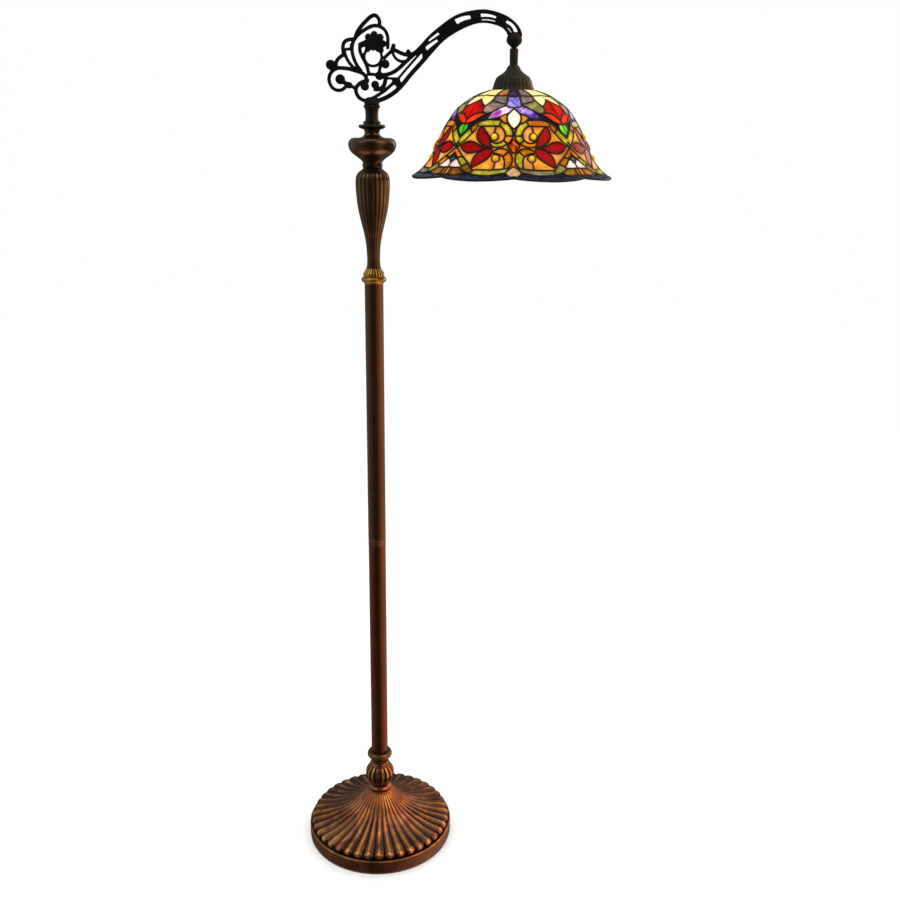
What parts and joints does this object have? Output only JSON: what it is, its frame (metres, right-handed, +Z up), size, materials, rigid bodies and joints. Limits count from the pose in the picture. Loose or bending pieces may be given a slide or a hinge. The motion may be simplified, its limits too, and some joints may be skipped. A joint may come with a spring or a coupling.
{
  "type": "floor lamp",
  "caption": "Floor lamp with a fluted round foot, slim column and pierced scroll bridge arm that hangs a leaded-glass bell shade with a scalloped rim.",
  "frame": {"origin": "centre of the foot's underside, on the floor", "axes": "+Z up along the column, +X from the column towards the shade, -Y towards the viewer"},
  "size_m": [0.5374, 0.3288, 1.5465],
  "materials": {
    "cast_bronze": "antique bronze plate rubbed to gold on the ridges",
    "tube_bronze": "antique bronze lacquer, satin",
    "dark_bronze": "dark antique bronze, satin",
    "antique_brass": "aged brass",
    "arm_iron": "black-bronze casting, satin",
    "dark_fitting": "near-black bronze",
    "plain_steel": "zinc plated",
    "ballast_iron": "raw casting",
    "felt": "black felt",
    "bushing_rubber": "matt",
    "lead_came": "patinated solder",
    "panel_glass": "opalescent stained glass",
    "crown_glass": "opalescent stained glass",
    "rim_glass": "opalescent stained glass",
    "jewel_glass": "rough pressed glass jewel",
    "cabochon_glass": "polished glass cabochon",
    "socket_brass": "brass-plated sheet",
    "insulation": "moulded insulator",
    "key_plastic": "black moulding",
    "bulb_glass": "frosted"
  },
  "bodies": {
    "stand": {"felt_pad": "felt", "base_shell": "cast_bronze", "base_weight": "ballast_iron", "base_washer": "plain_steel", "base_nut": "plain_steel", "cord_bushing": "bushing_rubber", "lower_rod": "plain_steel", "base_ring": "cast_bronze", "gadroon_ball": "cast_bronze", "pole_cup": "cast_bronze", "lower_tube": "tube_bronze", "lower_tube_plug": "plain_steel", "joint_coupling": "plain_steel", "joint_collar": "tube_bronze", "upper_tube": "tube_bronze", "upper_tube_plug": "plain_steel", "upper_rod": "plain_steel", "brass_ring": "antique_brass", "baluster": "dark_bronze", "neck_ring": "dark_bronze", "column_knop": "dark_bronze", "drip_dish": "dark_bronze", "arm_post": "dark_bronze"},
    "arm": {"arm_collar": "arm_iron", "arm_casting": "arm_iron"},
    "shade": {"tip_nipple": "plain_steel", "stem_sleeve": "dark_fitting", "shade_cap": "dark_fitting", "cap_washer": "plain_steel", "cap_nut": "plain_steel", "crown_collar": "lead_came", "crown_glass": "crown_glass", "crown_hoop": "lead_came", "glass_panel_right": "panel_glass", "glass_panel_back": "panel_glass", "glass_panel_left": "panel_glass", "glass_panel_front": "panel_glass", "seam_cames": "lead_came", "skirt_hoop": "lead_came", "rim_glass": "rim_glass", "rim_cames": "lead_came", "diamond_jewels": "jewel_glass", "cabochon_jewels": "cabochon_glass", "socket_cap": "socket_brass", "socket_shell": "socket_brass", "socket_liner": "insulation", "socket_core": "insulation", "screw_shell": "socket_brass", "center_contact": "socket_brass", "bulb_base": "socket_brass", "bulb_glass": "bulb_glass"},
    "switch_key": {"switch_key": "key_plastic"}
  },
  "joints": [
    {"name": "arm_swivel", "type": "hinge", "parent": "stand", "child": "arm", "pos_m": [0, 0, 1.395], "axis": [0, 0, 1], "range_deg": [-170, 170]},
    {"name": "shade_swivel", "type": "hinge", "parent": "arm", "child": "shade", "pos_m": [0.232, 0, 1.491], "axis": [0, 0, 1], "range_deg": [-165, 165]},
    {"name": "key_turn", "type": "hinge", "parent": "shade", "child": "switch_key", "pos_m": [0.232, 0, 1.4144], "axis": [1, 0, 0], "continuous": true}
  ]
}
